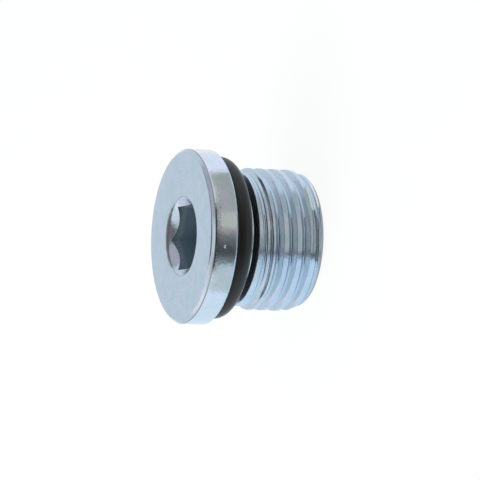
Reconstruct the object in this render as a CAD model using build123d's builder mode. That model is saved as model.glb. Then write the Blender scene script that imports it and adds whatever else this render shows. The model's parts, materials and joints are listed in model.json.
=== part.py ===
from build123d import *
import math
import os

# A hollow-hex plug with an O-ring under its head, for a 9/16-18 straight-thread port.
# Millimetres. The axis is Z: the threaded end stands on z = 0 and the head is on top.

# Driving dimensions: the turned blank
total_height = 12.7
head_diameter = 17.46
head_thickness = 2.78
face_diameter = 16.62            # flat of the head, inside its front chamfer
face_chamfer_height = 0.34
head_back_edge = 0.22            # chamfer on the underside edge of the head
neck_diameter = 12.3             # plain neck that carries the O-ring
neck_length = 2.57               # from the underside of the head down to the thread
neck_corner_break = 0.15         # small chamfer where the neck meets the head

# Driving dimensions: the thread, 18 turns per inch and right-hand
thread_major_diameter = 14.2
thread_pitch = 25.4 / 18
crest_share = 0.36               # flat of the crest, as a share of the pitch
root_share = 0.12                # flat of the root, as a share of the pitch
flank_angle = 30.0               # each flank, from the plane across the axis
land_diameter = 13.5             # rolling blank, left bare beyond the last full crest at each end
fade_length = 0.15               # height over which a crest falls to the land
top_land_length = 1.32
top_shoulder_height = 0.18       # the land ends at the neck with a steep shoulder
end_land_length = 0.85
lead_in_length = 0.35            # 45 degree chamfer round the end face
groove_foot = -1.804             # height at which the groove's lower end leaves the +X side
groove_turns = 7                 # both ends of the groove run out into free space
groove_overshoot = 0.3           # how far the cut reaches outside the major diameter

# Driving dimensions: the socket
hex_across_flats = 6.35
hex_turn = 30.0                  # brings two corners of the hexagon over the Y axis
hex_depth = 5.0
pilot_point_angle = 120.0        # cone that the pilot hole leaves under the hexagon
mouth_diameter = 8.16
mouth_angle = 90.0
dish_diameter = 10.4             # shallow ring drawn in around the mouth
dish_depth = 0.03

# Driving dimensions: the O-ring
ring_section = 1.98
ring_squash = 0.03               # how far the stretched rubber is flattened on the neck

# Derived sizes
stud_length = total_height - head_thickness
head_radius = head_diameter / 2
face_radius = face_diameter / 2
neck_radius = neck_diameter / 2
major_radius = thread_major_diameter / 2
thread_top = stud_length - neck_length
land_radius = land_diameter / 2
top_land_top = thread_top - top_shoulder_height
top_land_foot = top_land_top - top_land_length
full_thread_top = top_land_foot - fade_length
end_land_top = lead_in_length + end_land_length
full_thread_foot = end_land_top + fade_length
end_radius = land_radius - lead_in_length
flank_slope = math.tan(math.radians(flank_angle))
thread_depth = thread_pitch * (1 - crest_share - root_share) / 2 / flank_slope
root_radius = major_radius - thread_depth
groove_reach = thread_depth + groove_overshoot
groove_root_half = thread_pitch * root_share / 2
groove_mouth_half = groove_root_half + groove_reach * flank_slope
hex_radius = hex_across_flats / 2
mouth_radius = mouth_diameter / 2
mouth_top = total_height - dish_depth
mouth_bottom = mouth_top - mouth_radius / math.tan(math.radians(mouth_angle / 2))
hex_floor = total_height - hex_depth
pilot_tip = hex_floor - hex_radius / math.tan(math.radians(pilot_point_angle / 2))
ring_radius = ring_section / 2
ring_center_radius = neck_radius + ring_radius - ring_squash
ring_center_z = stud_length - ring_radius

os.makedirs("parts", exist_ok=True)


# One turn of the thread groove: a 60 degree V with a flat root, swept along the helix
with BuildPart() as groove_turn:
    with BuildLine() as helix_line:
        Helix(pitch=thread_pitch, height=thread_pitch, radius=root_radius)
    with BuildSketch(Plane.XZ.shift_origin((root_radius, 0, 0))):
        with BuildLine():
            Polyline(
                (0, -groove_root_half),
                (groove_reach, -groove_mouth_half),
                (groove_reach, groove_mouth_half),
                (0, groove_root_half),
                close=True,
            )
        make_face()
    sweep(path=helix_line.line, is_frenet=True)

# The whole groove: the same turn, one pitch higher each time
with BuildPart() as thread_groove:
    with Locations([(0, 0, groove_foot + turn * thread_pitch) for turn in range(groove_turns)]):
        add(groove_turn.part)


# Plug body: head, neck and threaded shank are one piece of plated steel
with BuildPart() as plug_body:
    with BuildSketch(Plane.XZ) as turned_profile:
        with BuildLine():
            Polyline(
                (0, 0),
                (end_radius, 0),
                (land_radius, lead_in_length),
                (land_radius, end_land_top),
                (major_radius, full_thread_foot),
                (major_radius, full_thread_top),
                (land_radius, top_land_foot),
                (land_radius, top_land_top),
                (neck_radius, thread_top),
                (neck_radius, stud_length),
                (head_radius - head_back_edge, stud_length),
                (head_radius, stud_length + head_back_edge),
                (head_radius, total_height - face_chamfer_height),
                (face_radius, total_height),
                (0, total_height),
                close=True,
            )
        make_face()
        neck_corner = turned_profile.vertices().sort_by_distance((neck_radius, stud_length))[0]
        chamfer(neck_corner, length=neck_corner_break)
    revolve(axis=Axis.Z)
    add(thread_groove.part, mode=Mode.SUBTRACT)

    # dish and countersunk mouth, turned in one cut
    with BuildSketch(Plane.XZ):
        with BuildLine():
            Polyline(
                (0, total_height),
                (dish_diameter / 2, total_height),
                (mouth_radius, mouth_top),
                (0, mouth_bottom),
                close=True,
            )
        make_face()
    revolve(axis=Axis.Z, mode=Mode.SUBTRACT)

    # hexagon with two of its corners over the Y axis
    with BuildSketch(Plane.XY.offset(total_height)):
        RegularPolygon(radius=hex_radius, side_count=6, major_radius=False, rotation=hex_turn)
    extrude(amount=-hex_depth, mode=Mode.SUBTRACT)

    # cone left by the pilot hole
    with BuildSketch(Plane.XZ):
        with BuildLine():
            Polyline((0, hex_floor), (hex_radius, hex_floor), (0, pilot_tip), close=True)
        make_face()
    revolve(axis=Axis.Z, mode=Mode.SUBTRACT)


# O-ring: a round rubber section up against the head, pressed flat where it grips the neck
with BuildPart() as o_ring:
    with BuildSketch(Plane.XZ):
        with Locations((ring_center_radius, ring_center_z)):
            Circle(ring_radius)
        with Locations((neck_radius, ring_center_z)):
            Rectangle(
                ring_section,
                2 * ring_section,
                align=(Align.MAX, Align.CENTER),
                mode=Mode.SUBTRACT,
            )
    revolve(axis=Axis.Z)


plug_body.part.label = "plug_body"
o_ring.part.label = "o_ring"
export_step(plug_body.part, "parts/plug_body.step")
export_step(o_ring.part, "parts/o_ring.step")
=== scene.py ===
# %% [markdown]
# # A hex socket plug and its O-ring
#
# A port plug closes a threaded hole in a hydraulic block. It is one piece of zinc-plated steel: a flat
# round head with a hexagon socket, a plain neck and a short thread. A rubber O-ring sits on the neck,
# against the underside of the head, and seals the hole.
#
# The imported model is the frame. Both real pieces are modelled again here, finer, in the same place and
# at the same size, and each one stands for its own node of the frame.

# %% Load the frame
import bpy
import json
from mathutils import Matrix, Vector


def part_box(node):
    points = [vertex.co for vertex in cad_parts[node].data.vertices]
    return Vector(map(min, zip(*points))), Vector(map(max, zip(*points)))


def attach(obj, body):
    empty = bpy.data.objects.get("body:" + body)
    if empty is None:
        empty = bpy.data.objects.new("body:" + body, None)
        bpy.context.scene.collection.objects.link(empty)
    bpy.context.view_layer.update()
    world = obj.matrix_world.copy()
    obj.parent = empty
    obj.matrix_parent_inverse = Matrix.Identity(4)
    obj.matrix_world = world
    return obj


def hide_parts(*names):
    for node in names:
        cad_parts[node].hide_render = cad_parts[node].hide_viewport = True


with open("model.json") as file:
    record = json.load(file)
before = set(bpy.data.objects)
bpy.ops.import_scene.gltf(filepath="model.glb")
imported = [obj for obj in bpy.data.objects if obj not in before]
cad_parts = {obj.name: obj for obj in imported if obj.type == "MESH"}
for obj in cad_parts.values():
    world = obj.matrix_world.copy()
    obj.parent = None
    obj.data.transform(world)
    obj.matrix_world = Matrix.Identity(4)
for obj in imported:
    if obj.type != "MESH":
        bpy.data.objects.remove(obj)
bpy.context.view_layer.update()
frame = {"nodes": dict(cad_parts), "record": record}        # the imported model's nodes, bodies and record
print("nodes in the frame:", sorted(frame["nodes"]))

# %% [markdown]
# ## Sizes
#
# The frame already knows the main sizes: the boxes of its two nodes, and the mounts in its record. They
# are read from there, so that the model can't drift from it. What the frame doesn't say, such as the
# form of the thread's groove, is a short list of real sizes in millimetres.

# %% Sizes from the frame
import json
import math

import bpy
import numpy as np
from mathutils import Matrix, Vector

MM = 0.001

mounts = {mount["name"]: mount for mount in frame["record"]["mounts"]}
ring_low, ring_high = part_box("o_ring")
head_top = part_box("plug_body")[1].z
head_radius = mounts["head_rim"]["dims"]["r_mm"] * MM
rim_length = mounts["head_rim"]["dims"]["length_mm"] * MM
rim_middle = mounts["head_rim"]["pos_m"][2]
head_underside = mounts["seat_face"]["pos_m"][2]
underside_radius = mounts["seat_face"]["dims"]["r_mm"] * MM
major_radius = mounts["thread"]["dims"]["r_mm"] * MM
thread_top = mounts["thread"]["dims"]["length_mm"] * MM
hex_apothem = mounts["hex_drive"]["dims"]["r_mm"] * MM
hex_floor = head_top - mounts["hex_drive"]["dims"]["length_mm"] * MM
print(f"head radius {head_radius / MM:.2f} mm, thread radius {major_radius / MM:.2f} mm")

# %% Sizes of the finer forms
face_radius = 8.31 * MM
neck_radius = 6.15 * MM
neck_corner = 0.15 * MM
dish_radius = 5.2 * MM
dish_depth = 0.03 * MM
mouth_radius = 4.05 * MM
pilot_slope = math.tan(math.radians(30))

pitch = 25.4 / 18 * MM
crest_width = 0.508 * MM
groove_foot = -1.804 * MM          # height at which the groove's lower end leaves the +X side
land_radius = 6.75 * MM            # the rolling blank, left bare beyond the last full crest
fade_length = 0.15 * MM            # height over which a crest falls to the land
top_land_length = 1.22 * MM
top_shoulder_height = 0.38 * MM
end_land_length = 0.85 * MM
lead_in_length = 0.35 * MM

turn_steps = 256                   # facets round every turned surface
same_place = 0.0001 * MM           # vertices nearer than this are one
print(f"pitch {pitch / MM:.3f} mm, mouth {2 * mouth_radius / MM:.1f} mm across")

# %% [markdown]
# ## The camera
#
# The camera looks at the plug's face from about 22 degrees above the plane across its axis, and it is
# rolled on its side, so that the plug seems to lie with its thread to the right. A long lens from 42 cm
# away keeps the perspective as flat as in a product picture. The camera comes first, because everything
# else is judged through it.

# %% Place the camera
camera_azimuth = math.radians(-97.7)
camera_height = math.radians(21.94)
camera_roll = math.radians(2.364)
camera_distance = 0.422
camera_lens = 316.9
aim = Vector((0, 0, 6.35 * MM))
aim_shift = Vector((0.018, -0.144)) * MM    # where the picture's centre lies beside that point

out = Vector((math.cos(camera_azimuth), math.sin(camera_azimuth), 0))
up = Vector((0, 0, 1))
toward_camera = out * math.cos(camera_height) + up * math.sin(camera_height)
picture_up = up.cross(out)
picture_right = picture_up.cross(toward_camera)
camera_x = picture_right * math.cos(camera_roll) + picture_up * math.sin(camera_roll)
camera_y = picture_up * math.cos(camera_roll) - picture_right * math.sin(camera_roll)
turned = Matrix((camera_x, camera_y, toward_camera)).transposed()
stand = aim + camera_x * aim_shift.x + camera_y * aim_shift.y + toward_camera * camera_distance

bpy.ops.object.camera_add(location=stand, rotation=turned.to_euler())
camera = bpy.context.object
camera.data.lens = camera_lens
camera.data.clip_start = 0.01
camera.data.clip_end = 5
bpy.context.scene.camera = camera
print("camera at", tuple(round(c, 3) for c in stand))

# %% [markdown]
# ## Drawing a profile
#
# A lathe part starts as half of its section. The helper below draws such a profile as by hand: a small
# plane is merged into one vertex, and that vertex is extruded from point to point. Each point also says
# how large the round at its corner is, and a vertex bevel makes it.

# %% A helper that draws a profile
fine_round = 0.25 * MM             # rounds below this size need few facets


def start_fresh():
    """Leaves edit mode and deselects everything, the frame's own nodes too."""
    if bpy.context.object and bpy.context.object.mode != "OBJECT":
        bpy.ops.object.mode_set(mode="OBJECT")
    bpy.ops.object.select_all(action="DESELECT")


def select_vertices(piece, wanted):
    """In edit mode, selects only the vertices whose place passes the test."""
    bpy.ops.mesh.select_mode(type="VERT")
    bpy.ops.mesh.select_all(action="DESELECT")
    bpy.ops.object.mode_set(mode="OBJECT")
    for vertex in piece.data.vertices:
        vertex.select = wanted(vertex.co)
    bpy.ops.object.mode_set(mode="EDIT")


def draw_profile(name, corners):
    """A chain of edges in the XZ plane. Each corner is its radius, its height and the size of its round."""
    start_fresh()
    bpy.ops.mesh.primitive_plane_add(size=MM)
    profile = bpy.context.object
    profile.name = name
    points = [Vector((radius, 0, height)) for radius, height, size in corners]
    bpy.ops.object.mode_set(mode="EDIT")
    bpy.ops.mesh.merge(type="CENTER")
    bpy.ops.transform.translate(value=points[0])
    for here, there in zip(points, points[1:]):
        bpy.ops.mesh.extrude_region_move(TRANSFORM_OT_translate={"value": there - here})
    for point, (radius, height, size) in zip(points, corners):
        if size:
            select_vertices(profile, lambda place: (place - point).length < 10 * same_place)
            bpy.ops.mesh.bevel(offset=size, segments=4 if size < fine_round else 10, affect="VERTICES")
    bpy.ops.object.mode_set(mode="OBJECT")
    return profile


def count(piece):
    return f"{piece.name}: {len(piece.data.vertices)} vertices, {len(piece.data.polygons)} faces"


# %% [markdown]
# ## The turned blank
#
# Head and neck are turned, so they are a profile spun round the axis. The face has a shallow dish round
# the socket, where the punch drew the metal in, and a countersunk mouth. The rim has a chamfer in front
# and a small one behind. Every corner gets a little round, because plating builds up there and a sharp
# edge would catch no light. The neck runs on down into the thread, to be joined to it.

# %% Spin the blank
mouth_height = head_top - dish_depth
mouth_slope = math.tan(math.radians(45.8))
rim_top = rim_middle + rim_length / 2
rim_bottom = rim_middle - rim_length / 2
core_bottom = 3 * MM               # inside the shank, where the union takes it in

mouth_round = 0.42 * MM
dish_round = 0.30 * MM
face_round = 0.12 * MM
rim_round = 0.13 * MM
rim_back_round = 0.06 * MM
underside_round = 0.05 * MM

blank = draw_profile("plated_plug", [
    (0, mouth_height - mouth_radius * mouth_slope, 0),
    (mouth_radius, mouth_height, mouth_round),
    (dish_radius, head_top, dish_round),
    (face_radius, head_top, face_round),
    (head_radius, rim_top, rim_round),
    (head_radius, rim_bottom, rim_back_round),
    (underside_radius, head_underside, underside_round),
    (neck_radius + neck_corner, head_underside, 0),
    (neck_radius, head_underside - neck_corner, 0),
    (neck_radius, core_bottom, 0),
    (0, core_bottom, 0),
])
bpy.ops.object.mode_set(mode="EDIT")
bpy.ops.mesh.select_all(action="SELECT")
bpy.ops.mesh.spin(steps=turn_steps, angle=math.tau, center=(0, 0, 0), axis=(0, 0, 1))
bpy.ops.mesh.select_all(action="SELECT")
bpy.ops.mesh.remove_doubles(threshold=same_place)
bpy.ops.mesh.normals_make_consistent(inside=False)
bpy.ops.object.mode_set(mode="OBJECT")
print(count(blank))

# %% [markdown]
# ## The thread
#
# A rolled thread is one small profile that climbs as it turns. One pitch of it is drawn, from groove to
# groove, with rounded roots and crests, and the Screw modifier winds it up the axis.

# %% Draw one pitch and wind it
flank_slope = math.tan(math.radians(30))
groove_half = (pitch - crest_width) / 2
groove_apex = major_radius - groove_half / flank_slope      # where the flanks would meet
foot = groove_foot
root_round = 0.47 * MM
crest_round = 0.08 * MM
long_edge = 0.1 * MM                                        # longer than any facet of a round
windings = 8                                                # enough to pass both ends of the shank

shank = draw_profile("shank", [
    (major_radius, foot - pitch / 2, 0),
    (major_radius, foot - groove_half, 0),
    (groove_apex, foot, root_round),
    (major_radius, foot + groove_half, crest_round),
    (major_radius, foot + pitch / 2, 0),
])
bpy.ops.object.mode_set(mode="EDIT")
bpy.ops.mesh.select_mode(type="EDGE")
bpy.ops.mesh.select_all(action="DESELECT")
bpy.ops.object.mode_set(mode="OBJECT")
for edge in shank.data.edges:
    start, end = (shank.data.vertices[i].co for i in edge.vertices)
    edge.select = (end - start).length > long_edge
bpy.ops.object.mode_set(mode="EDIT")
bpy.ops.mesh.subdivide(number_cuts=5)
bpy.ops.object.mode_set(mode="OBJECT")
print(count(shank))

bpy.ops.object.modifier_add(type="SCREW")
winding = shank.modifiers[-1]
winding.axis = "Z"
winding.angle = math.tau
winding.screw_offset = pitch
winding.iterations = windings
winding.steps = winding.render_steps = turn_steps
bpy.ops.object.modifier_apply(modifier=winding.name)
print(count(shank))

# %% [markdown]
# ## Pressing the ends of the thread
#
# Rolling squeezes metal out of the groove into the crest. Where the dies stop, the crest falls back to
# the bare blank, so each end of the thread has a low land with only a shallow groove in it. The blank's
# own chamfer starts the thread, and a steep shoulder ends the land at the neck. Each vertex that stands
# above this outline is pressed in to it. The outline's corners are rounded by taking its mean over a
# short height, and the minimum is a smooth one, so the ridges sink in softly, as rolled metal does.
#
# The dies don't lift off all round at once, so the last crest fades along a slightly tilted plane.
# The mesh first gets a loop of edges at each corner's height, so that the corner falls on vertices.

# %% The outline of the ends
end_radius = land_radius - lead_in_length
end_land_top = lead_in_length + end_land_length
top_land_top = thread_top - top_shoulder_height
top_land_foot = top_land_top - top_land_length
fade_tilt = 0.042                          # rise of the fade, towards the picture's top
overlap = 0.2 * MM                         # how far the shank reaches into the neck
shank_top = thread_top + overlap
corner_radii = [end_radius, land_radius, land_radius, major_radius,
                major_radius, land_radius, land_radius, neck_radius, neck_radius - overlap]
corner_spread = 0.02 * MM
shoulder_blend = 0.05 * MM


def corner_heights(lift):
    """Heights of the outline's corners where the tilted fade is lifted so much."""
    return [0, lead_in_length, end_land_top, end_land_top + fade_length,
            top_land_foot - fade_length + lift, top_land_foot + lift, top_land_top, thread_top, shank_top]


def outline_radius(place):
    """Radius of the pressed outline, as a mean over a short height."""
    heights = corner_heights(fade_tilt * place.dot(picture_up))
    nearby = [place.z + corner_spread * step for step in (-1, -0.5, 0, 0.5, 1)]
    return sum(np.interp(nearby, heights, corner_radii)) / len(nearby)


def soft_minimum(a, b, blend):
    """The smaller of the two, rounded over where they cross."""
    near = max(blend - abs(a - b), 0) / blend
    return min(a, b) - near * near * blend / 4


print("heights of the outline's corners:", [round(height / MM, 2) for height in corner_heights(0)])

# %% Press them down
fade_normal = up - picture_up * fade_tilt
bpy.ops.object.mode_set(mode="EDIT")
for index, height in enumerate(corner_heights(0)[1:-1], start=1):
    normal = fade_normal if index in (4, 5) else up
    bpy.ops.mesh.select_all(action="SELECT")
    bpy.ops.mesh.bisect(plane_co=(0, 0, height), plane_no=normal, threshold=same_place)
bpy.ops.object.mode_set(mode="OBJECT")
for vertex in shank.data.vertices:
    radius = math.hypot(vertex.co.x, vertex.co.y)
    pressed = soft_minimum(radius, outline_radius(vertex.co), shoulder_blend)
    vertex.co.x *= pressed / radius
    vertex.co.y *= pressed / radius
print(count(shank))

# %% Cut the ends square and close them
bpy.ops.object.mode_set(mode="EDIT")
bpy.ops.mesh.select_all(action="SELECT")
bpy.ops.mesh.remove_doubles(threshold=2 * same_place)
bpy.ops.mesh.bisect(plane_co=(0, 0, 0), plane_no=(0, 0, 1), use_fill=True, clear_inner=True,
                    threshold=same_place)
bpy.ops.mesh.select_all(action="SELECT")
bpy.ops.mesh.bisect(plane_co=(0, 0, shank_top), plane_no=(0, 0, 1), use_fill=True, clear_outer=True,
                    threshold=same_place)
bpy.ops.mesh.select_all(action="SELECT")
bpy.ops.mesh.normals_make_consistent(inside=False)
bpy.ops.object.mode_set(mode="OBJECT")
print(count(shank))

# %% [markdown]
# ## Joining the thread to the neck
#
# On the real plug the thread, the neck and the head are one piece, so the two closed shells are joined
# by a union. The top of the thread stands inside the neck, where the union takes it away.

# %% A helper for cutting and joining
def combine(piece, other, operation):
    """Joins the other closed shell to the piece, or cuts it out, and deletes the other."""
    start_fresh()
    bpy.context.view_layer.objects.active = piece
    piece.select_set(True)
    bpy.ops.object.modifier_add(type="BOOLEAN")
    step = piece.modifiers[-1]
    step.operation = operation
    step.solver = "EXACT"
    step.object = other
    bpy.ops.object.modifier_apply(modifier=step.name)
    bpy.data.objects.remove(other)


# %% Join them
combine(blank, shank, "UNION")
print(count(blank))

# %% [markdown]
# ## The socket
#
# The socket is pressed by a hexagonal punch into a drilled pilot hole. So it is cut in the same two
# steps: a hexagonal prism with slightly rounded corners, two of them over the Y axis, and then the cone
# that the drill left below it. Where the hexagon meets the countersunk mouth, its corners reach further
# up the cone than its flats do, which draws the scallops round the mouth.

# %% Cut the hexagon
hex_corner_round = 0.03 * MM
cutter_clearance = 1 * MM
hex_corner_radius = hex_apothem / math.cos(math.radians(30))
cutter_height = head_top + cutter_clearance - hex_floor

start_fresh()
bpy.ops.mesh.primitive_cylinder_add(vertices=6, radius=hex_corner_radius, depth=cutter_height,
                                    location=(0, 0, hex_floor + cutter_height / 2))
punch = bpy.context.object
bpy.ops.object.transform_apply(location=True, rotation=True, scale=True)
bpy.ops.object.mode_set(mode="EDIT")
bpy.ops.mesh.select_mode(type="EDGE")
bpy.ops.mesh.select_all(action="DESELECT")
bpy.ops.object.mode_set(mode="OBJECT")
for edge in punch.data.edges:
    start, end = (punch.data.vertices[i].co for i in edge.vertices)
    edge.select = abs(end.z - start.z) > MM
bpy.ops.object.mode_set(mode="EDIT")
bpy.ops.mesh.bevel(offset=hex_corner_round, segments=4, affect="EDGES")
bpy.ops.object.mode_set(mode="OBJECT")
combine(blank, punch, "DIFFERENCE")
print(count(blank))

# %% Cut the pilot hole's cone
pilot_depth = hex_apothem * pilot_slope
drill_clearance = 0.02 * MM         # keeps the cone inside the hexagon's flats
lid_lift = 0.5 * MM                 # the drill's cutter ends in the open socket
start_fresh()
bpy.ops.mesh.primitive_cone_add(vertices=96, radius1=0, radius2=hex_apothem - drill_clearance,
                                depth=pilot_depth, location=(0, 0, hex_floor - pilot_depth / 2))
drill = bpy.context.object
bpy.ops.object.transform_apply(location=True, rotation=True, scale=True)
bpy.ops.object.mode_set(mode="EDIT")
bpy.ops.mesh.select_mode(type="FACE")
bpy.ops.mesh.select_all(action="DESELECT")
bpy.ops.object.mode_set(mode="OBJECT")
for face in drill.data.polygons:
    face.select = face.normal.z > 0.9
bpy.ops.object.mode_set(mode="EDIT")
bpy.ops.mesh.extrude_region_move(TRANSFORM_OT_translate={"value": (0, 0, lid_lift)})
bpy.ops.object.mode_set(mode="OBJECT")
combine(blank, drill, "DIFFERENCE")
print(count(blank))

# %% Shade it
smooth_below = math.radians(28)     # edges that turn more than this stay sharp
start_fresh()
bpy.context.view_layer.objects.active = blank
blank.select_set(True)
bpy.ops.object.shade_smooth_by_angle(angle=smooth_below)
plug = blank
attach(plug, "root")
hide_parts("plug_body")
print(plug.name, "stands for plug_body")

# %% [markdown]
# ## The O-ring
#
# An O-ring is a torus of black rubber. Stretched over the neck it is pressed flat on the inside, and it
# lies against the underside of the head. The mould leaves a fine flash line round the outside.

# %% Make the O-ring
ring_section_radius = (ring_high.z - ring_low.z) / 2
ring_middle_radius = ring_high.x - ring_section_radius
ring_height = (ring_high.z + ring_low.z) / 2
flash_height = 0.02 * MM
flash_half = 0.06 * MM

start_fresh()
bpy.ops.mesh.primitive_torus_add(major_segments=turn_steps, minor_segments=96, location=(0, 0, ring_height),
                                 major_radius=ring_middle_radius, minor_radius=ring_section_radius)
ring = bpy.context.object
ring.name = "rubber_ring"
bpy.ops.object.transform_apply(location=True, rotation=True, scale=True)
for vertex in ring.data.vertices:
    radius = math.hypot(vertex.co.x, vertex.co.y)
    from_equator = abs(vertex.co.z - ring_height)
    wanted = max(radius, neck_radius)
    if radius > ring_middle_radius:
        wanted += flash_height * (max(1 - from_equator / flash_half, 0) - 1)
    vertex.co.x *= wanted / radius
    vertex.co.y *= wanted / radius
bpy.ops.object.shade_smooth()
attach(ring, "root")
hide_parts("o_ring")
print(count(ring))

# %% [markdown]
# ## Helpers for materials
#
# A material is a small network of nodes. Built by hand, each node costs two or three lines, so a few
# helpers make them: one adds a node and wires its inputs, one does a step of arithmetic, one turns a
# distance into a share between 0 and 1, and one lays a colour over another as far as a share says.

# %% Helpers for materials
def new_material(name):
    """A material with only its output and a Principled shader in it."""
    material = bpy.data.materials.new(name)
    material.use_nodes = True
    nodes = material.node_tree.nodes
    nodes.clear()
    shader = nodes.new("ShaderNodeBsdfPrincipled")
    output = nodes.new("ShaderNodeOutputMaterial")
    link(material, shader.outputs["BSDF"], output.inputs["Surface"])
    return material, shader


def link(owner, source, target):
    """Joins two sockets in a material or in the world."""
    owner.node_tree.links.new(source, target)


def feed(owner, socket, value):
    """Gives a socket a fixed value, or joins another node's output to it."""
    if isinstance(value, bpy.types.NodeSocket):
        link(owner, value, socket)
    else:
        socket.default_value = value


def add_node(owner, kind, **settings):
    """One more node. A setting named like an input feeds it, with _ for a space."""
    node = owner.node_tree.nodes.new(kind)
    for name, value in settings.items():
        socket = node.inputs.get(name.replace("_", " "))
        if socket is None:
            setattr(node, name, value)
        else:
            feed(owner, socket, value)
    return node


def calculate(owner, operation, *terms):
    """A step of arithmetic on one to three terms, each a number or another node's output."""
    node = add_node(owner, "ShaderNodeMath", operation=operation)
    for socket, term in zip(node.inputs, terms):
        feed(owner, socket, term)
    return node.outputs["Value"]


def fade(material, value, start, full, low=0.0, high=1.0, curve="LINEAR"):
    """A share that is low until the value reaches start, and high from full on."""
    node = add_node(material, "ShaderNodeMapRange", interpolation_type=curve, Value=value,
                    From_Min=start, From_Max=full, To_Min=low, To_Max=high)
    return node.outputs["Result"]


def lay_over(material, share, under, over, blend="MIX"):
    """One colour over another, as far as the share says."""
    node = add_node(material, "ShaderNodeMix", data_type="RGBA", blend_type=blend,
                    Factor=share, A=under, B=over)
    return node.outputs["Result"]


# %% [markdown]
# ## Where on the plug
#
# The plate isn't the same all over. It is thin and dull in the socket and thin at the thread's roots.
# Inside the socket and along the edges of the rim and the mouth its colour is painted darker, as painted
# shade. Each of these could be a material of its own on its own faces, but then every border would be
# hard. So there is one material, which works out each point's distance from the axis and height above
# the foot, and from them a share for each region. All of them run right round the axis: a dark side is
# left to the reflections, because paint on one side would stay there in every other view.

# %% Start the zinc plate and measure
zinc, zinc_shader = new_material("zinc_plate")
place = add_node(zinc, "ShaderNodeTexCoord").outputs["Object"]
spread = add_node(zinc, "ShaderNodeSeparateXYZ", Vector=place)
above_foot = spread.outputs["Z"]
x_squared = calculate(zinc, "POWER", spread.outputs["X"], 2)
y_squared = calculate(zinc, "POWER", spread.outputs["Y"], 2)
from_axis = calculate(zinc, "SQRT", calculate(zinc, "ADD", x_squared, y_squared))
print("nodes that measure:", len(zinc.node_tree.nodes) - 2)

# %% The inside of the socket
# the socket's colour darkens further in and further down as painted shade; its roughness and lower metal
# share are the plate's own dullness
# pairs say where a region starts and where it is full
socket_wall = (hex_corner_radius + 0.25 * MM, hex_corner_radius + 0.10 * MM)
socket_depth = (head_top - 0.6 * MM, head_top - 1.6 * MM)
inward = fade(zinc, from_axis, *socket_wall)
downward = fade(zinc, above_foot, *socket_depth)
in_socket = calculate(zinc, "MULTIPLY", inward, downward)
print(f"the socket darkens within {socket_wall[0] / MM:.2f} mm of the axis")

# %% The roots of the thread
groove_root = (land_radius - 0.05 * MM, land_radius - 0.13 * MM)
below_neck = calculate(zinc, "LESS_THAN", above_foot, thread_top)
at_root = calculate(zinc, "MULTIPLY", fade(zinc, from_axis, *groove_root), below_neck)
print(f"the plate is thin within {groove_root[0] / MM:.2f} mm of the axis")

# %% The painted shade along the edges
# each line is a band round a middle height or radius, with half its width
rim_line_middle, rim_line_half = rim_top + 0.02 * MM, 0.045 * MM
mouth_line_middle, mouth_line_half = mouth_radius - 0.08 * MM, 0.05 * MM
mouth_line_share = 0.6
head_skin = 0.3 * MM                       # how far in from the rim the head's line reaches
face_skin = 0.25 * MM                      # how far below its top the face reaches

on_face = calculate(zinc, "GREATER_THAN", above_foot, head_top - face_skin)
on_rim = calculate(zinc, "GREATER_THAN", from_axis, head_radius - head_skin)
near_rim_line = calculate(zinc, "COMPARE", above_foot, rim_line_middle, rim_line_half)
near_mouth_line = calculate(zinc, "COMPARE", from_axis, mouth_line_middle, mouth_line_half)
rim_line = calculate(zinc, "MULTIPLY", near_rim_line, on_rim)
mouth_line = calculate(zinc, "MULTIPLY", near_mouth_line, on_face)
# the dark lines along the rim's edge and round the mouth are painted shade
painted_edge_shade = calculate(zinc, "MULTIPLY_ADD", mouth_line, mouth_line_share, rim_line)
print(f"rubbed lines {2 * rim_line_half / MM:.2f} and {2 * mouth_line_half / MM:.2f} mm wide")

# %% [markdown]
# ## Zinc plate
#
# Bright zinc with a clear blue passivate is a metal with a cool tint that drifts a little from place to
# place, towards lavender and towards green, where the passivate film is thicker or thinner. A noise
# drives that drift. The other colours are laid over it in turn: the faint rings that the lathe left on
# the face, the thin plate at the roots, painted shade as dark lines along the rim's edge and round the
# mouth, and painted shade inside the socket, where the plate is also dull, rougher and less of a mirror.
# A rolled thread is a little more satin than a turned head.

# %% Colour the plate
greenish, lavender = (0.62, 0.73, 0.74, 1), (0.73, 0.74, 0.84, 1)
between_rings = (0.967, 0.972, 0.976, 1)
thin_plate = (0.62, 0.72, 0.80, 1)
# painted shade for the dark lines along the edges
edge_shade_colour = (0.42, 0.44, 0.47, 1)
# painted shade inside the socket
painted_socket_shade = (0.19, 0.27, 0.32, 1)
ring_scale = 700                           # a ring every 0.45 mm

# blotches of about 1.4 mm
blotches = add_node(zinc, "ShaderNodeTexNoise", Vector=place, Scale=700.0, Detail=5.0, Roughness=0.7)
tint = add_node(zinc, "ShaderNodeValToRGB", Fac=blotches.outputs["Fac"])
tint.color_ramp.elements[0].position = 0.40
tint.color_ramp.elements[0].color = greenish
tint.color_ramp.elements[1].position = 0.60
tint.color_ramp.elements[1].color = lavender

rings = add_node(zinc, "ShaderNodeTexWave", wave_type="RINGS", rings_direction="Z", Vector=place,
                 Scale=ring_scale)
ringed = calculate(zinc, "MULTIPLY", rings.outputs["Fac"], on_face)

colour = lay_over(zinc, ringed, tint.outputs["Color"], between_rings, blend="MULTIPLY")
colour = lay_over(zinc, at_root, colour, thin_plate)
# painted shade along the rim's edge and round the mouth
colour = lay_over(zinc, painted_edge_shade, colour, edge_shade_colour)
# painted shade in the socket, darkest deep inside
colour = lay_over(zinc, in_socket, colour, painted_socket_shade)
link(zinc, colour, zinc_shader.inputs["Base Color"])
print("nodes in the plate so far:", len(zinc.node_tree.nodes))

# %% Polish the plate
bright, dull = 0.14, 0.45                  # roughness on the head and in the socket
thread_satin = 0.07                        # added on the thread
socket_metal = 0.5                         # how much of a mirror is left in the socket

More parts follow.
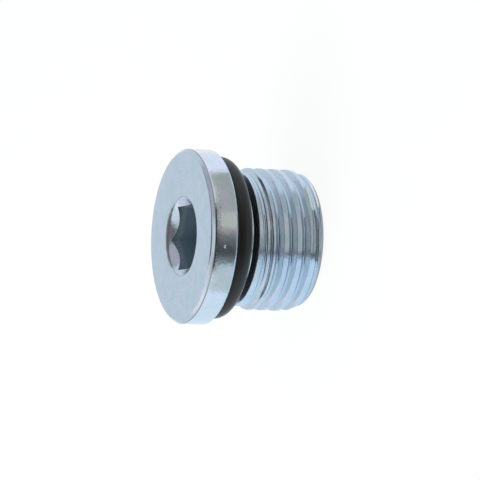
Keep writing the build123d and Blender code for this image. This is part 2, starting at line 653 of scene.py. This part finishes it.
dullness = fade(zinc, in_socket, 0, 1, low=bright, high=dull)
satin = calculate(zinc, "MULTIPLY_ADD", below_neck, thread_satin, dullness)
link(zinc, satin, zinc_shader.inputs["Roughness"])
metal = fade(zinc, in_socket, 0, 1, low=1.0, high=socket_metal)
link(zinc, metal, zinc_shader.inputs["Metallic"])
print(f"roughness {bright} on the head, {bright + thread_satin:.2f} on the thread, {dull} in the socket")

# %% [markdown]
# ## Marks and a knock
#
# Under the plate are the marks of the lathe. They run round the axis, so they are drawn on one
# coordinate that grows both outwards and upwards: rings on the flat face, and fine lines round the rim
# and the thread. Over them lies the grain of the plate, and a plug that has been handled has a knock or
# two, here one small dent in the rim. They are far too fine to be modelled, so they are bump only.

# %% Emboss the plate
knock_angle = math.radians(-5.5)
knock_size = 0.22 * MM
knock_lift = 0.05 * MM                     # above the middle of the rim
knock_place = (out * math.cos(knock_angle) + picture_up * math.sin(knock_angle)) * head_radius
knock_place.z = rim_middle + knock_lift

# fine lines, about 0.4 mm wide
track = add_node(zinc, "ShaderNodeCombineXYZ", X=calculate(zinc, "ADD", from_axis, above_foot))
marks = add_node(zinc, "ShaderNodeTexNoise", Vector=track.outputs[0], Scale=2600.0, Detail=4.0)
mark_bump = add_node(zinc, "ShaderNodeBump", Strength=0.5, Distance=0.008 * MM, Height=marks.outputs["Fac"])

# grain of about 0.7 mm
skin = add_node(zinc, "ShaderNodeTexNoise", Vector=place, Scale=1500.0, Detail=6.0, Roughness=0.65)
skin_bump = add_node(zinc, "ShaderNodeBump", Strength=0.8, Distance=0.03 * MM, Height=skin.outputs["Fac"],
                     Normal=mark_bump.outputs["Normal"])

# the dent, deepest in its middle
from_knock = add_node(zinc, "ShaderNodeVectorMath", operation="DISTANCE", Vector=place)
from_knock.inputs[1].default_value = knock_place
knock = fade(zinc, from_knock.outputs["Value"], 0, knock_size, curve="SMOOTHSTEP")
knock_bump = add_node(zinc, "ShaderNodeBump", Strength=1.0, Distance=0.05 * MM, Height=knock,
                      Normal=skin_bump.outputs["Normal"])
link(zinc, knock_bump.outputs["Normal"], zinc_shader.inputs["Normal"])

plug.data.materials.clear()
plug.data.materials.append(zinc)
print("nodes in the plate:", len(zinc.node_tree.nodes))

# %% [markdown]
# ## Rubber
#
# Nitrile rubber is nearly black. A moulded ring has a fine, satin skin that shines a little more where it
# is seen at a slant, and that shine is slightly warm. A low base colour with a broad highlight and some
# sheen gives this. All of it is even, so each value is set on the shader itself.

# %% Make the rubber
rubber, rubber_shader = new_material("nitrile_rubber")
rubber_shader.inputs["Base Color"].default_value = (0.005, 0.005, 0.005, 1)
rubber_shader.inputs["Roughness"].default_value = 0.5
rubber_shader.inputs["Specular IOR Level"].default_value = 0.62
rubber_shader.inputs["Specular Tint"].default_value = (1.0, 0.93, 0.88, 1)
rubber_shader.inputs["Sheen Weight"].default_value = 0.5
rubber_shader.inputs["Sheen Roughness"].default_value = 0.3
rubber_shader.inputs["Sheen Tint"].default_value = (1.0, 0.92, 0.90, 1)
ring.data.materials.clear()
ring.data.materials.append(rubber)
print(ring.name, "is", rubber.name)

# %% [markdown]
# ## Floor and background
#
# The plug stands on white paper in front of white paper. Both are plain white to the camera and in the
# metal, and only the light that they throw back is left to the lamps. To the camera a tenth of the floor
# is left as lit paper under the pure white, so that a trace of the plug's soft shadow stays on it.

# %% Lay the floor
shadow_share = 0.10
floor_gap = 0.02 * MM                      # keeps the floor clear of the plug's end face

start_fresh()
bpy.ops.mesh.primitive_plane_add(size=2, location=(0, 0, -floor_gap))
floor = bpy.context.object
floor.name = "floor"

paper, paper_shader = new_material("white_paper")
paper_shader.inputs["Base Color"].default_value = (0.88, 0.88, 0.88, 1)
paper_shader.inputs["Roughness"].default_value = 1.0
paper_shader.inputs["Specular IOR Level"].default_value = 0.0
path = add_node(paper, "ShaderNodeLightPath")
to_camera = calculate(paper, "MULTIPLY", path.outputs["Is Camera Ray"], 1 - shadow_share)
mirrored = calculate(paper, "MAXIMUM", path.outputs["Is Glossy Ray"], path.outputs["Is Transmission Ray"])
whiteness = calculate(paper, "MAXIMUM", to_camera, mirrored)
pure_white = add_node(paper, "ShaderNodeEmission", Color=(1, 1, 1, 1), Strength=1.0)
blend = add_node(paper, "ShaderNodeMixShader", Fac=whiteness)
link(paper, paper_shader.outputs[0], blend.inputs[1])
link(paper, pure_white.outputs[0], blend.inputs[2])
output = next(node for node in paper.node_tree.nodes if node.type == "OUTPUT_MATERIAL")
link(paper, blend.outputs[0], output.inputs["Surface"])
floor.data.materials.append(paper)
print("the floor shows", shadow_share, "of the shadow")

# %% Light the room
world = bpy.data.worlds.new("studio")
bpy.context.scene.world = world
world.use_nodes = True
sky = world.node_tree.nodes["Background"]
sky.inputs["Color"].default_value = (0.9, 0.95, 1.0, 1)
sky.inputs["Strength"].default_value = 0.9
backdrop = add_node(world, "ShaderNodeBackground", Color=(1, 1, 1, 1), Strength=1.0)
path = add_node(world, "ShaderNodeLightPath")
seen = calculate(world, "MAXIMUM", path.outputs["Is Camera Ray"], path.outputs["Is Glossy Ray"])
seen_through = calculate(world, "MAXIMUM", seen, path.outputs["Is Transmission Ray"])
mix = add_node(world, "ShaderNodeMixShader", Fac=seen_through)
link(world, sky.outputs[0], mix.inputs[1])
link(world, backdrop.outputs[0], mix.inputs[2])
link(world, mix.outputs[0], world.node_tree.nodes["World Output"].inputs["Surface"])
bpy.context.scene.view_settings.view_transform = "Standard"
print("the room is lit at", round(sky.inputs["Strength"].default_value, 2))

# %% [markdown]
# ## A tent and cards round the plug
#
# A mirror-like part in an all-white room has no form. So a product photographer stands it in a pale
# tent and puts grey, black and pale blue cards round it, just out of the picture, and their reflections
# draw bands along the rim and across the ridges. Tent and cards are there for the reflections only: the
# camera, the soft light and the shadows pass them by.

# %% Helpers for tent and cards
def for_reflections(card, name, colour):
    """Makes the piece visible in reflections only, in one even colour."""
    card.name = name
    card.visible_camera = False
    card.visible_diffuse = False
    card.visible_shadow = False
    material, shader = new_material(name)
    shader.inputs["Base Color"].default_value = (0, 0, 0, 1)
    shader.inputs["Specular IOR Level"].default_value = 0.0
    shader.inputs["Emission Color"].default_value = (*colour, 1)
    shader.inputs["Emission Strength"].default_value = 1.0
    card.data.materials.append(material)


def bend_card(name, start, end, first, last, colour):
    """A card bent round the plug's axis. Start and end are a radius and a height in mm; first and last
    are angles in degrees, where 0 is towards the camera and 90 is the picture's top."""
    start_fresh()
    bpy.ops.mesh.primitive_plane_add(size=MM)
    card = bpy.context.object
    turn = math.radians(first)
    ray = out * math.cos(turn) + picture_up * math.sin(turn)
    here, there = ((ray * radius + up * height) * MM for radius, height in (start, end))
    bpy.ops.object.mode_set(mode="EDIT")
    bpy.ops.mesh.select_mode(type="VERT")
    bpy.ops.mesh.select_all(action="SELECT")
    bpy.ops.mesh.merge(type="CENTER")
    bpy.ops.transform.translate(value=here)
    bpy.ops.mesh.extrude_region_move(TRANSFORM_OT_translate={"value": there - here})
    bpy.ops.mesh.select_all(action="SELECT")
    bpy.ops.mesh.spin(steps=24, angle=math.radians(last - first), center=(0, 0, 0), axis=(0, 0, -1))
    bpy.ops.object.mode_set(mode="OBJECT")
    for_reflections(card, name, colour)


def hang_card(name, near, far, low, high, height, colour, flare=0):
    """A flat card overhead, in mm: from near to far towards the camera, from low to high in the picture.
    With a flare, its near edge reaches that much further on both sides."""
    start_fresh()
    bpy.ops.mesh.primitive_plane_add(size=MM)
    card = bpy.context.object
    corners = [(near, low - flare), (far, low), (near, high + flare), (far, high)]
    for vertex, (forward, side) in zip(card.data.vertices, corners):
        vertex.co = (out * forward + picture_up * side + up * height) * MM
    for_reflections(card, name, colour)


# %% Pitch the tent
wall = 400                                 # its radius in mm
ceiling = 260                              # its height in mm
tent_cloth = (0.66, 0.75, 0.83)
bend_card("pale_wall", (wall, 1), (wall, ceiling), 0, 360, tent_cloth)
bend_card("pale_ceiling", (1, ceiling), (wall, ceiling), 0, 360, tent_cloth)
print("tent:", wall, "mm in radius,", ceiling, "mm high")

# %% [markdown]
# ## Cards that stand and hang
#
# The camera's side is dark, as behind any camera, and shades the rim's middle. The overhead cards are for
# the slanting surfaces: the small ones just above the socket shade one side of its mouth and light the
# other, and the large ones grade the chamfer round the face.

# %% Stand and hang the cards
camera_side = 42                           # half the angle that the camera's cards span
bend_card("camera_dark", (250, 2), (250, 145), -camera_side, camera_side, (0.03, 0.03, 0.03))
bend_card("camera_grey", (250, 145), (250, 255), -camera_side, camera_side, (0.10, 0.10, 0.10))

# name, near and far edge, low and high edge, height, colour
hang_card("mouth_dark", -8, 8, -4.4, 2.5, 24.5, (0.17, 0.16, 0.16))
hang_card("mouth_light", -8, 8, -12, -4.4, 24.5, (0.78, 0.85, 0.94))
hang_card("overhead_dark", -60, -6, -12, 12, 90, (0.22, 0.22, 0.22), flare=53)
hang_card("overhead_light", -110, -6, -130, -62, 100, (0.92, 0.97, 1.0))
hang_card("overhead_mauve", -80, 120, 22, 130, 100, (0.46, 0.46, 0.52))
hang_card("overhead_grey", -6, 120, -60, -22, 100, (0.58, 0.58, 0.58))

# %% [markdown]
# ## Cards on the floor
#
# The camera looks down, so an upright wall of the plug mirrors the floor, and the higher a point of it
# is, the further out. So each ring of floor cards belongs to one height: next to the foot for the lower
# thread, then the upper thread, and widest for the rim of the head. Round the ring the colours change
# from blue through grey to black and back. The thin dark lines give each ridge one hard edge.

# %% Lay the cards on the floor
# name, inner and outer radius in mm, first and last angle, colour
floor_cards = [
    ("foot_under", 5.5, 6.9, -180, 180, (0.45, 0.45, 0.46)),
    ("foot_dark", 6.9, 8.8, -20, 34, (0.17, 0.18, 0.19)),
    ("thread_near_grey", 8.8, 12, -12, 66, (0.43, 0.47, 0.49)),
    ("thread_inner_grey", 12, 16, -13.5, 34, (0.48, 0.53, 0.56)),
    ("thread_outer_grey", 16, 23.5, -16, 34, (0.52, 0.56, 0.59)),
    ("thread_near_line", 8.8, 12, -18, -12, (0.12, 0.14, 0.14)),
    ("thread_inner_line", 12, 16, -20, -13.5, (0.12, 0.14, 0.14)),
    ("thread_outer_line", 16, 23.5, -22, -16, (0.12, 0.14, 0.14)),
    ("thread_high_grey", 12, 23.5, 34, 66, (0.42, 0.49, 0.56)),
    ("far_dark", 60, 250, -42, 42, (0.05, 0.05, 0.05)),
    ("foot_low_blue", 6.9, 8.8, -150, -20, (0.66, 0.85, 1.02)),
    ("thread_near_blue", 8.8, 12, -150, -18, (0.66, 0.85, 1.02)),
    ("thread_inner_blue", 12, 16, -150, -20, (0.64, 0.83, 1.02)),
    ("thread_low_blue", 16, 23.5, -55, -22, (0.56, 0.75, 0.96)),
    ("thread_lower_blue", 16, 23.5, -150, -55, (0.66, 0.84, 1.04)),
    ("foot_high_blue", 6.9, 14.5, 66, 150, (0.74, 0.88, 1.02)),
    ("thread_high_blue", 14.5, 23.5, 66, 150, (0.62, 0.75, 0.90)),
    ("rim_high_blue", 23.5, 60, 85, 130, (0.92, 0.97, 1.10)),
    ("rim_grey", 23.5, 60, 30, 85, (0.46, 0.46, 0.46)),
    ("rim_warm_grey", 23.5, 60, 10, 30, (0.64, 0.61, 0.59)),
    ("rim_dark_grey", 23.5, 60, 2, 10, (0.30, 0.30, 0.30)),
    ("rim_dusk", 23.5, 60, -8, 2, (0.17, 0.17, 0.18)),
    ("rim_black", 23.5, 60, -22, -8, (0.08, 0.09, 0.10)),
    ("rim_shade", 23.5, 60, -30.4, -22, (0.22, 0.25, 0.27)),
    ("rim_low_green", 23.5, 60, -66, -30.4, (0.60, 0.70, 0.73)),
    ("rim_lower_blue", 23.5, 60, -150, -66, (0.83, 0.95, 1.08)),
]
for name, inner, outer, first, last, colour in floor_cards:
    bend_card(name, (inner, 0), (outer, 0), first, last, colour)
print(len(floor_cards), "cards on the floor")

# %% Hang the key light
start_fresh()
# metres towards the camera, towards the picture's top, and along the plug's axis
toward, rise, along = -0.03, -0.21, 0.213
key_place = out * toward + picture_up * rise + up * along
bpy.ops.object.light_add(type="AREA", location=key_place)
key = bpy.context.object
key.rotation_euler = key_place.to_track_quat("Z", "Y").to_euler()
key.data.shape = "RECTANGLE"
key.data.size = 0.22
key.data.size_y = 0.16
key.data.energy = 0.5
key.visible_glossy = False
print("key light at", tuple(round(c, 2) for c in key_place))
